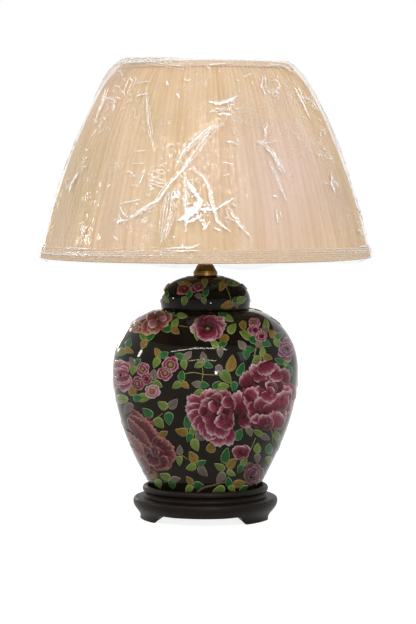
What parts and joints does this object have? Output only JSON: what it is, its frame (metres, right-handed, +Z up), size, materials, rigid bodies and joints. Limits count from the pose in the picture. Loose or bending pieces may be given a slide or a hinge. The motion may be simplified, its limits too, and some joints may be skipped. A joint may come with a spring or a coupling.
{
  "type": "table lamp",
  "caption": "Table lamp with a lidded porcelain jar on a footed wooden stand and a wide pleated shade on a wire harp.",
  "frame": {"origin": "centre of the stand's footprint on the surface that the lamp stands on", "axes": "+Z up along the threaded rod, -Y the front that the picture shows, +X to the right"},
  "size_m": [0.4575, 0.4576, 0.627],
  "materials": {
    "wood_dark": "stained near black, rubbed wax sheen",
    "bush_black": "moulded",
    "steel_zinc": "zinc plated",
    "brass_antique": "dark antiqued",
    "brass_bright": "lacquered",
    "porcelain_black": "black glaze with raised coloured enamels",
    "liner_card": "plain",
    "phenolic_black": "moulded",
    "shell_nickel": "drawn",
    "lining_cloth": "plain weave",
    "pleat_cloth": "silk-like gathered cloth",
    "trim_cloth": "ribbed braid",
    "film_clear": "clear crinkled film",
    "bulb_frosted": "frosted"
  },
  "bodies": {
    "base": {"stand_top": "wood_dark", "stand_aprons": "wood_dark", "stand_feet": "wood_dark", "cord_bush": "bush_black", "rod_washer": "steel_zinc", "lock_washer": "steel_zinc", "hex_nut": "brass_antique", "threaded_rod": "steel_zinc", "jar": "porcelain_black", "lid": "porcelain_black", "vase_cap": "brass_antique", "harp_saddle": "brass_bright", "socket_cup": "brass_bright", "cup_screw": "steel_zinc", "socket_shell": "brass_bright", "paper_liner": "liner_card", "switch_body": "phenolic_black", "screw_shell": "shell_nickel", "centre_contact": "brass_bright"},
    "harp": {"harp_bow": "brass_bright", "harp_stud": "brass_bright"},
    "left_sleeve": {"sleeve_left": "brass_bright"},
    "right_sleeve": {"sleeve_right": "brass_bright"},
    "shade": {"top_ring": "steel_zinc", "bottom_ring": "steel_zinc", "frame_ribs": "steel_zinc", "spider_hub": "steel_zinc", "spider_arms": "steel_zinc", "shade_lining": "lining_cloth", "pleated_cover": "pleat_cloth", "top_binding": "trim_cloth", "bottom_braid": "trim_cloth", "clear_wrap": "film_clear"},
    "finial": {"finial": "brass_bright"},
    "bulb": {"bulb_glass": "bulb_frosted", "bulb_base": "shell_nickel", "bulb_contact": "phenolic_black"},
    "switch_key": {"key_stem": "brass_bright", "key_knob": "phenolic_black"}
  },
  "joints": [
    {"name": "harp_lift", "type": "slide", "parent": "base", "child": "harp", "axis": [0, 0, 1], "range_m": [0, 0.18]},
    {"name": "left_sleeve_slide", "type": "slide", "parent": "harp", "child": "left_sleeve", "axis": [0, 0, 1], "range_m": [0, 0.012]},
    {"name": "right_sleeve_slide", "type": "slide", "parent": "harp", "child": "right_sleeve", "axis": [0, 0, 1], "range_m": [0, 0.012]},
    {"name": "shade_turn", "type": "hinge", "parent": "harp", "child": "shade", "pos_m": [0, 0, 0.5933], "axis": [0, 0, 1], "continuous": true},
    {"name": "finial_turn", "type": "hinge", "parent": "harp", "child": "finial", "pos_m": [0, 0, 0.5952], "axis": [0, 0, 1], "range_deg": [0, 2520]},
    {"name": "bulb_turn", "type": "hinge", "parent": "base", "child": "bulb", "pos_m": [0, 0, 0.4004], "axis": [0, 0, 1], "range_deg": [0, 1080]},
    {"name": "switch_turn", "type": "hinge", "parent": "base", "child": "switch_key", "pos_m": [0, 0, 0.3846], "axis": [0, -1, 0], "continuous": true}
  ]
}
